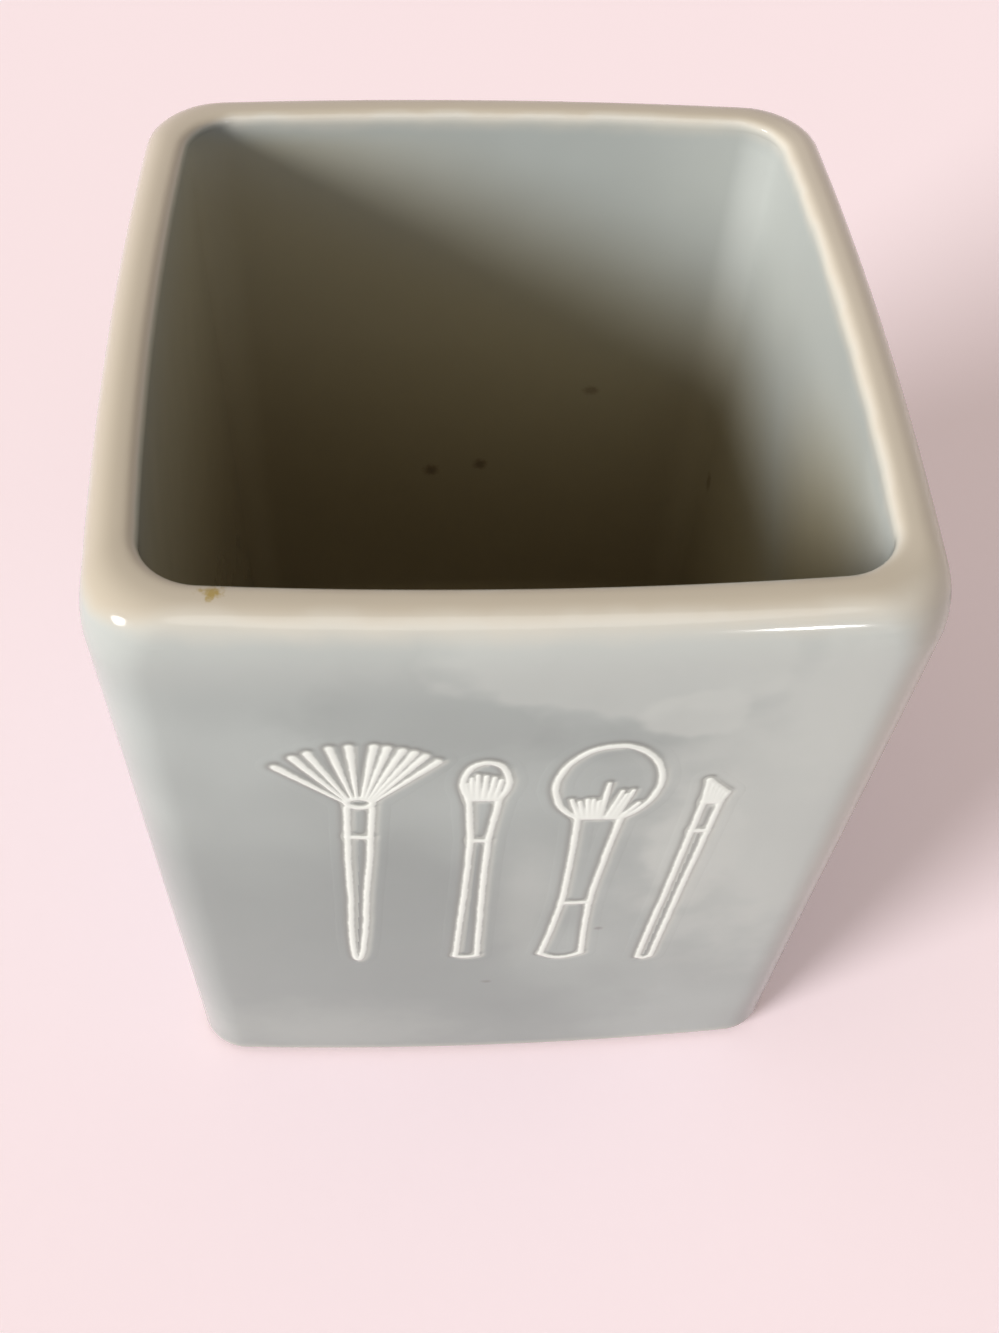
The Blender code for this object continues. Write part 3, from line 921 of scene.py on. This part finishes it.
def new_material(name, roughness, sheen, look):
    """A material whose colour and normal come from look, with its constant numbers on the shader."""
    material = bpy.data.materials.new(name)
    material.use_nodes = True
    tree = material.node_tree
    shader = tree.nodes["Principled BSDF"]
    constants = {"Roughness": roughness, "Sheen Weight": sheen, **shared_constants}
    for socket, value in constants.items():
        shader.inputs[socket].default_value = value
    paint, normal = look(tree)
    tree.links.new(paint, shader.inputs["Base Color"])
    tree.links.new(normal, shader.inputs["Normal"])
    print(f"{name}: {len(tree.nodes)} nodes")
    return material


print("helpers ready")

# %% [markdown]
# ## Grey glaze
#
# Most of the glaze is a blue-tinged grey that drifts between two tones. Low on the left it is
# duskier. Paler patches, most on the right of the front, are painted reflections and painted light.
# Down in the well the glaze lies thick and goes dark and olive, and this is painted shade too: it
# comes sooner on the left and in the front right of the well, where the window's light doesn't reach.
# On the lip, at the right upright corners and along the base edge it is thin, and the cream of the
# clay comes through, with a beige band along the crown. The cream on the right lip is also a painted
# highlight, and at the right corners it is also painted light. Inside, the paler grey on the lit right
# wall is painted light. A few specks of iron have burnt through. The glaze over the lines starts from
# the same grey.

# %% Colours and places in the glaze
grey_tone = colour(0.405, 0.438, 0.432)
blue_grey_tone = colour(0.445, 0.482, 0.475)
dusk_tone = colour(0.275, 0.302, 0.30)
# pale grey for thin glaze, and for the painted reflections and painted light on the front
pale_glaze_and_light_tone = colour(0.58, 0.605, 0.585)
# olive and dark for the well: thick glaze, and painted shade
olive_shade_tone = colour(0.46, 0.42, 0.30)
deep_shade_tone = colour(0.29, 0.245, 0.16)
cream_tone = colour(0.66, 0.635, 0.57)
# a paler cream for a painted highlight on the right lip
highlight_cream_tone = colour(0.76, 0.70, 0.60)
biscuit_tone = colour(0.54, 0.483, 0.39)
iron_tone = colour(0.10, 0.055, 0.03)
honey_tone = colour(0.40, 0.30, 0.09)

glaze_roughness = 0.10
glaze_sheen = 0.12
dusky_pools = (
    ((-0.0080, -0.0424, 0.0880), (0.0135, 0.02, 0.0085), 0.35, 0.3),
    ((0.0110, -0.0424, 0.0825), (0.0075, 0.02, 0.0035), 0.45, 0.3),
    ((0.0105, -0.0424, 0.0145), (0.0100, 0.02, 0.0070), 0.60, 0.3),
)
# pale patches on the front: painted reflections and painted light
painted_reflection_patches = (
    ((0.0350, -0.0424, 0.0700), (0.0190, 0.02, 0.0360), 0.45, 0.70),
    ((0.0215, -0.0424, 0.0600), (0.0055, 0.02, 0.0150), 0.30, 0.60),
    ((0.0100, -0.0424, 0.0960), (0.0175, 0.02, 0.0088), 0.14, 0.55),
    ((0.0172, -0.0424, 0.0873), (0.0052, 0.02, 0.0042), 0.16, 0.60),
    ((0.0345, -0.0424, 0.0870), (0.0085, 0.02, 0.0140), 0.50, 0.85),
    ((0.0025, -0.0424, 0.0480), (0.0030, 0.02, 0.0120), 0.90, 0.35),
    ((-0.0230, -0.0424, 0.0080), (0.0150, 0.02, 0.0080), 0.90, 0.30),
)
iron_specks = (
    ((-0.0065, 0.0366, 0.0394), (0.0010, 0.003, 0.0010), 0.7, 0.60),
    ((0.0012, 0.0366, 0.0406), (0.0009, 0.003, 0.0009), 0.7, 0.60),
    ((0.0171, 0.0364, 0.0563), (0.0010, 0.003, 0.0007), 0.7, 0.40),
    ((0.0362, 0.0294, 0.0439), (0.003, 0.0008, 0.0015), 0.7, 0.40),
    ((0.0122, -0.0424, 0.0397), (0.0005, 0.001, 0.0004), 0.7, 0.30),
    ((-0.0012, -0.0424, 0.0247), (0.0006, 0.001, 0.0004), 0.7, 0.22),
)
honey_specks = (((-0.0286, -0.0373, 0.1008), (0.0010, 0.0008, 0.0012), 0.4, 1.0),)
# an olive spot in the front right of the well: painted shade at the shadow's edge
olive_shade_spot = ((0.0367, -0.0230, 0.0710), (0.0200, 0.0240, 0.0200), 0.60)

# %% The glaze on a plain wall
dusk_slant = 0.30
wall_bands = {
    "drift": (("drift", 0.35, 0.65),),
    "dusk": (("slant", 0.030, 0.006), ("height", 0.086, 0.050, 0.0, 0.68)),
}


def glaze_colour(tree):
    """The glaze's colour with painted reflections on the front, but not what thins it at the lip."""
    wavy = wavering(tree, 0.018, 1.0, 0.005)
    across, height = across_and_height(tree)
    share = band_shares(tree, {
        "drift": noise_value(tree, 0.022, 1.0),
        "slant": maths(tree, "ADD", across, wavy, maths(tree, "MULTIPLY", height, dusk_slant)),
        "height": maths(tree, "ADD", height, wavy),
    }, wall_bands)
    layers = ((share["drift"], blue_grey_tone), (share["dusk"], dusk_tone))
    grey = laid_over(tree, grey_tone, *layers)
    grey = spotted(tree, grey, dusky_pools, dusk_tone, (0.006, 0.2))
    return spotted(tree, grey, painted_reflection_patches, pale_glaze_and_light_tone, (0.006, 0.16))


def speckled(tree, paint):
    """The paint with the specks of iron burnt through it."""
    return spotted(tree, paint, iron_specks, iron_tone, (0.0006, 0.2))


def glaze_waves(tree):
    """Slow waves and a faint orange-peel, which only the gloss shows."""
    waves, peel = noise_value(tree, 0.011, 1.0), noise_value(tree, 0.0016, 2.0)
    broad = add_node(tree, "ShaderNodeBump", {"Height": waves, "Distance": 0.00022, "Strength": 0.5})
    inputs = {"Height": peel, "Distance": 0.00001, "Strength": 0.5, "Normal": broad.outputs[0]}
    return add_node(tree, "ShaderNodeBump", inputs).outputs[0]


# the pale patches are painted reflections and painted light
print(f"{len(dusky_pools)} dusky pools and {len(painted_reflection_patches)} pale clouds")

# %% [markdown]
# The rest is written as bands. A row names a number and says where its change starts and ends, and
# what it goes from and to, where that isn't 0 to 1. A run is a distance along the profile in
# millimetres from the crest of the lip, and is first moved a little near the left and right corners.

# %% Where the glaze is thin, and where it is deep
# painted shade: the well's olive and dark come sooner towards its shaded left
shade_tilt = 550.0
moved_runs = {
    # moved on the right, so the cream runs further down the outer right lip: painted light
    "thin_outer_run": ("drifting_run", 0.033, 0.040, 2.0),
    "thin_inner_run": ("drifting_run", -0.030, -0.038, 2.2),
    "crown_outer_run": ("drifting_run", -0.030, -0.040, 2.4),
    "crown_inner_run": ("drifting_run", -0.030, -0.040, -1.0),
    # moved on the left, so the olive starts nearer the lip on the shaded left wall: painted shade
    "well_run": ("lip_run", -0.030, -0.038, 3.5),
}
pot_bands = {
    "lip": (("thin_outer_run", -5.8, -2.2), ("thin_inner_run", 4.0, 0.6)),
    # cream only at the right upright corners, which turn from the window: thin glaze and painted light
    "corner": (
        ("corner_turn", 0.1, 0.9), ("drifting_run", 0.0, -4.0),
        ("across", -0.01, 0.03), ("height", -0.02, 0.09, 0.0, 0.85),
    ),
    "base": (("height", 0.0032, 0.0012, 0.0, 0.6),),
    # less beige on the right lip, which adds to the painted highlight there
    "crown": (
        ("crown_outer_run", -3.2, -0.8), ("crown_inner_run", 1.8, 0.4),
        ("across", -0.042, -0.030, 1.0, 0.80), ("across", 0.033, 0.040, 1.0, 0.35),
    ),
    # painted highlight on the right lip
    "bright_cream": (("across", 0.033, 0.040),),
    "pale": (("lip_run", -15.0, -5.0, 0.0, 0.45),),
    "pale_outside": (("lip_run", 3.0, 0.0),),
    # inside, a paler grey on the right wall, which the window lights: painted light
    "painted_light_right": (("across", 0.012, 0.034, 0.3, 1.0),),
    "well": (("well_run", 1.5, 6.0),),
    "olive": (("shaded_run", 1.0, 35.0),),
    "deep": (("well_run", 1.5, 6.0), ("shaded_run", 20.0, 86.0, 0.0, 0.85)),
}


def pot_numbers(tree):
    """The numbers that the pot's bands follow, by name."""
    numbers = point_numbers(tree, skin_numbers)
    run = numbers["lip_run"]
    across, height = across_and_height(tree)
    numbers.update(across=across, height=height)
    numbers["drifting_run"] = maths(tree, "ADD", run, wavering(tree, 0.006, 2.0, 0.3))
    # the run grows towards the left, so the painted shade in the well comes sooner there
    numbers["shaded_run"] = maths(tree, "SUBTRACT", run, maths(tree, "MULTIPLY", across, shade_tilt))
    for name, (moved, start, end, move) in moved_runs.items():
        move = ramp(tree, across, start, end, 0.0, move)
        numbers[name] = maths(tree, "ADD", numbers[moved], move)
    return numbers


def grey_glaze_look(tree):
    """The pot's glaze: its colour, and its waves."""
    share = band_shares(tree, pot_numbers(tree), pot_bands)
    # the paler grey inside is kept strongest on the lit right wall: painted light
    kept = maths(tree, "MAXIMUM", share["pale_outside"], share["painted_light_right"])
    # olive: thick glaze, and painted shade on the left of the well and in its front right
    olive = maths(tree, "MAXIMUM", share["olive"], soft_spot(tree, *olive_shade_spot))
    thin = maths(tree, "MAXIMUM", share["lip"], share["corner"], share["base"])
    # cream, with a painted highlight on the right lip
    cream = laid_over(tree, cream_tone, (share["bright_cream"], highlight_cream_tone))
    thick_layers = (
        (maths(tree, "MULTIPLY", share["pale"], kept), pale_glaze_and_light_tone),
        (maths(tree, "MULTIPLY", share["well"], olive), olive_shade_tone),
        (share["deep"], deep_shade_tone),
    )
    paint = speckled(tree, laid_over(tree, glaze_colour(tree), *thick_layers))
    paint = laid_over(tree, paint, (thin, cream), (share["crown"], biscuit_tone))
    return spotted(tree, paint, honey_specks, honey_tone, (0.0008, 0.4)), glaze_waves(tree)


grey_glaze = new_material("grey_glaze", glaze_roughness, glaze_sheen, grey_glaze_look)

# %% [markdown]
# ## White lines under the glaze
#
# The lines are the same glaze over a raised white slip. Their material starts from the pot's grey,
# so that the sheet melts into the pot. Over it come painted shade on the upper left of a line,
# painted light on its lower right, a soft halo all round and the white crest itself.

# %% Material of the raised lines
line_tone = colour(0.88, 0.905, 0.87)
# painted light on the lower right of a line, and the real pale halo round it
light_and_halo_tone = colour(0.68, 0.70, 0.66)
# painted shade on the upper left of a line, which also darkens the glaze between close lines
line_shade_tone = colour(0.25, 0.255, 0.245)
line_bands = {
    "crest": (("line_weight", 0.28, 0.80),),
    # the first row is painted shade on a line's upper left, the next painted light on its lower right
    "pool": (("line_glow", 0.02, 0.85), ("line_shade_side", 0.55, -0.35, 0.0, 0.85)),
    "rim": (("line_glow", 0.02, 0.85), ("line_shade_side", 0.25, 0.80, 0.0, 0.75)),
    "halo": (("line_glow", 0.62, 0.98, 0.0, 0.375),),
    "crossings": (("line_glow", 1.08, 1.5, 0.0, 0.75),),
}


def white_line_look(tree):
    """The raised lines and the glaze round them: its colour, and the pot's own waves."""
    numbers = point_numbers(tree, line_numbers)
    patchy = wavering(tree, 0.0012, 2.0, 0.07)
    numbers["line_weight"] = maths(tree, "ADD", numbers["line_weight"], patchy)
    share = band_shares(tree, numbers, line_bands)
    # painted light on a line's lower right, with the real halo and the pale crossings
    rim = maths(tree, "MAXIMUM", share["rim"], share["halo"], share["crossings"])
    layers = ((share["pool"], line_shade_tone), (rim, light_and_halo_tone), (share["crest"], line_tone))
    return laid_over(tree, speckled(tree, glaze_colour(tree)), *layers), glaze_waves(tree)


white_line_glaze = new_material("white_line_glaze", glaze_roughness, glaze_sheen, white_line_look)

# %% [markdown]
# ## Bare clay
#
# The foot is fired clay without glaze: a dry off-white with fine sandy grain, a little browner
# where it has rubbed on shelves.

# %% Material of the clay
clay_tone = colour(0.72, 0.66, 0.56)
worn_tone = colour(0.60, 0.53, 0.43)
clay_roughness = 0.85
clay_bands = {
    "scuffs": (("scuffs", 0.45, 0.7),),
    "grain": (("grain", 0.35, 0.7, 0.0, 0.25),),
}


def bare_clay_look(tree):
    """Dry clay with sandy grain and browner scuffs."""
    numbers = {"grain": noise_value(tree, 0.0007, 4.0), "scuffs": noise_value(tree, 0.006, 3.0)}
    share = band_shares(tree, numbers, clay_bands)
    paint = laid_over(tree, clay_tone, (share["scuffs"], worn_tone), (share["grain"], worn_tone))
    inputs = {"Height": numbers["grain"], "Distance": 0.00006, "Strength": 0.6}
    return paint, add_node(tree, "ShaderNodeBump", inputs).outputs[0]


bare_clay = new_material("bare_clay", clay_roughness, 0.0, bare_clay_look)

# %% Give every piece its material and its place in the model
def finish_piece(piece, material, node):
    """Dress a piece, let it ride on the pot's body and stand for its solid."""
    piece.data.materials.append(material)
    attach(piece, "root")
    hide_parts(node)
    triangles = sum(len(face.vertices) - 2 for face in piece.data.polygons)
    print(f"{piece.name}: {triangles} triangles")


finish_piece(glaze_coat, grey_glaze, "glaze_coat")
finish_piece(clay_body, bare_clay, "stoneware_body")
for node, drawing in drawings.items():
    finish_piece(drawing, white_line_glaze, node)

# %% [markdown]
# ## Floor and surroundings
#
# The pot stands on a plain pale pink ground. The camera and the gloss see its full colour, through
# Light Path, while the light that it throws back on to the pot is quieter and neutral, so that the
# glaze keeps its own grey. It is an ordinary matt surface, and so it keeps the pot's shadow.

# %% Floor and world
floor_size = 3.0
floor_gap = 0.0001
seen_pink = colour(1.185, 1.027, 1.145)
bounced_tone = colour(0.50, 0.48, 0.46)
sky_seen = colour(0.94, 0.77, 0.79)
level_tone = colour(0.93, 0.99, 1.20)
overhead_tone = colour(1.20, 1.03, 0.74)
sky_heights = (0.30, 0.80)
sky_strength = 0.42


def seen_directly(tree):
    """1 for rays from the camera and for what gloss and glass show, 0 for light bounced on."""
    path = add_node(tree, "ShaderNodeLightPath").outputs
    kinds = ("Is Camera Ray", "Is Glossy Ray", "Is Transmission Ray")
    return maths(tree, "MAXIMUM", *[path[kind] for kind in kinds])


def add_floor():
    """A wide matt plane just under the foot."""
    bpy.ops.mesh.primitive_plane_add(size=floor_size, location=(0.0, 0.0, -floor_gap))
    floor = bpy.context.object
    floor.name = "floor"
    material = bpy.data.materials.new("pale_floor")
    material.use_nodes = True
    tree = material.node_tree
    tree.nodes.clear()
    paint = laid_over(tree, bounced_tone, (seen_directly(tree), seen_pink))
    matt = add_node(tree, "ShaderNodeBsdfDiffuse", {"Color": paint})
    add_node(tree, "ShaderNodeOutputMaterial", {"Surface": matt.outputs[0]})
    floor.data.materials.append(material)


def set_world():
    """A pale surrounding for the camera and the gloss, and a quieter one that lights the pot."""
    world = bpy.data.worlds.new("studio")
    bpy.context.scene.world = world
    world.use_nodes = True
    tree = world.node_tree
    tree.nodes.clear()
    shown = add_node(tree, "ShaderNodeBackground", {"Color": sky_seen, "Strength": 1.0})
    direction = add_node(tree, "ShaderNodeTexCoord").outputs["Generated"]
    height = add_node(tree, "ShaderNodeSeparateXYZ", {0: direction}).outputs["Z"]
    tone = laid_over(tree, level_tone, (ramp(tree, height, *sky_heights), overhead_tone))
    light = add_node(tree, "ShaderNodeBackground", {"Color": tone, "Strength": sky_strength})
    inputs = {0: seen_directly(tree), 1: light.outputs[0], 2: shown.outputs[0]}
    both = add_node(tree, "ShaderNodeMixShader", inputs)
    add_node(tree, "ShaderNodeOutputWorld", {"Surface": both.outputs[0]})


add_floor()
set_world()
print("floor", floor_size, "m wide, sky at", sky_strength)

# %% [markdown]
# ## Light
#
# The shadow falls to the right and a little back, and its edge inside the well runs from the back
# left to the front right, so one broad light stands low on the front left, such as a window.
#
# Three more show only in the gloss: the bright pane of the window is the glint on the left corner, a
# small lamp is the thin streak on the right of the lip, and a soft light is the pale band along it.
# They add nothing to the matt light, so a highlight can be moved without a change to the colours.
# A row holds a light's name, its angle to the left of the front and above the floor, its strength,
# how many degrees wide it is, and its tone.

# %% Window light and highlights
matt_light = "window_light"
sun_rows = (
    (matt_light, 60.0, 17.5, 3.52, 23.0, (1.0, 0.975, 0.93)),
    ("window_pane", 63.0, 18.5, 0.80, 14.5, (1.0, 1.0, 1.0)),
    ("small_lamp", -21.3, 2.5, 0.34, 3.0, (1.0, 1.0, 1.0)),
    ("soft_room_light", -4.0, 48.5, 0.62, 43.0, (1.0, 0.99, 0.95)),
)


def add_sun(name, azimuth_deg, elevation_deg, strength, angle_deg, tone):
    """A far light. It first shines straight down, and is then tipped to the front and turned."""
    lamp = bpy.data.lights.new(name, "SUN")
    lamp.energy = strength
    lamp.angle = math.radians(angle_deg)
    lamp.color = tone
    sun = bpy.data.objects.new(name, lamp)
    sun.rotation_euler = np.radians([90.0 - elevation_deg, 0.0, -azimuth_deg])
    sun.visible_glossy = name != matt_light
    sun.visible_diffuse = name == matt_light
    bpy.context.collection.objects.link(sun)


for row in sun_rows:
    add_sun(*row)
    print(f"{row[0]} from {row[1]} degrees to the left and {row[2]} degrees up")

# %% [markdown]
# ## Camera
#
# The photograph was taken by hand, from close by and steeply from above, turned a little and
# tilted clockwise. The camera is set from its place and those three angles, in radians.

# %% Camera
camera_place = Vector((-0.01174, -0.11705, 0.19997))
camera_turn = 0.1199
camera_pitch = 0.9438
camera_roll = 0.0787
picture_height = 1333
focal_pixels = 1400.78
sensor_size = 36.0


def add_camera():
    """A camera that first looks straight down, and is then rolled, tipped up and turned."""
    lens = bpy.data.cameras.new("camera")
    lens.sensor_width = sensor_size
    lens.lens = focal_pixels / picture_height * sensor_size
    lens.clip_start = 0.01
    camera = bpy.data.objects.new("camera", lens)
    rolled = Matrix.Rotation(camera_roll, 4, "Z")
    tipped = Matrix.Rotation(math.pi / 2 - camera_pitch, 4, "X")
    turned = Matrix.Rotation(-camera_turn, 4, "Z")
    camera.matrix_world = Matrix.Translation(camera_place) @ turned @ tipped @ rolled
    bpy.context.collection.objects.link(camera)
    return camera


bpy.context.scene.camera = add_camera()
bpy.context.scene.view_settings.view_transform = "Standard"
print("lens", round(bpy.context.scene.camera.data.lens, 2), "mm")

# %% Finish
bpy.context.view_layer.update()
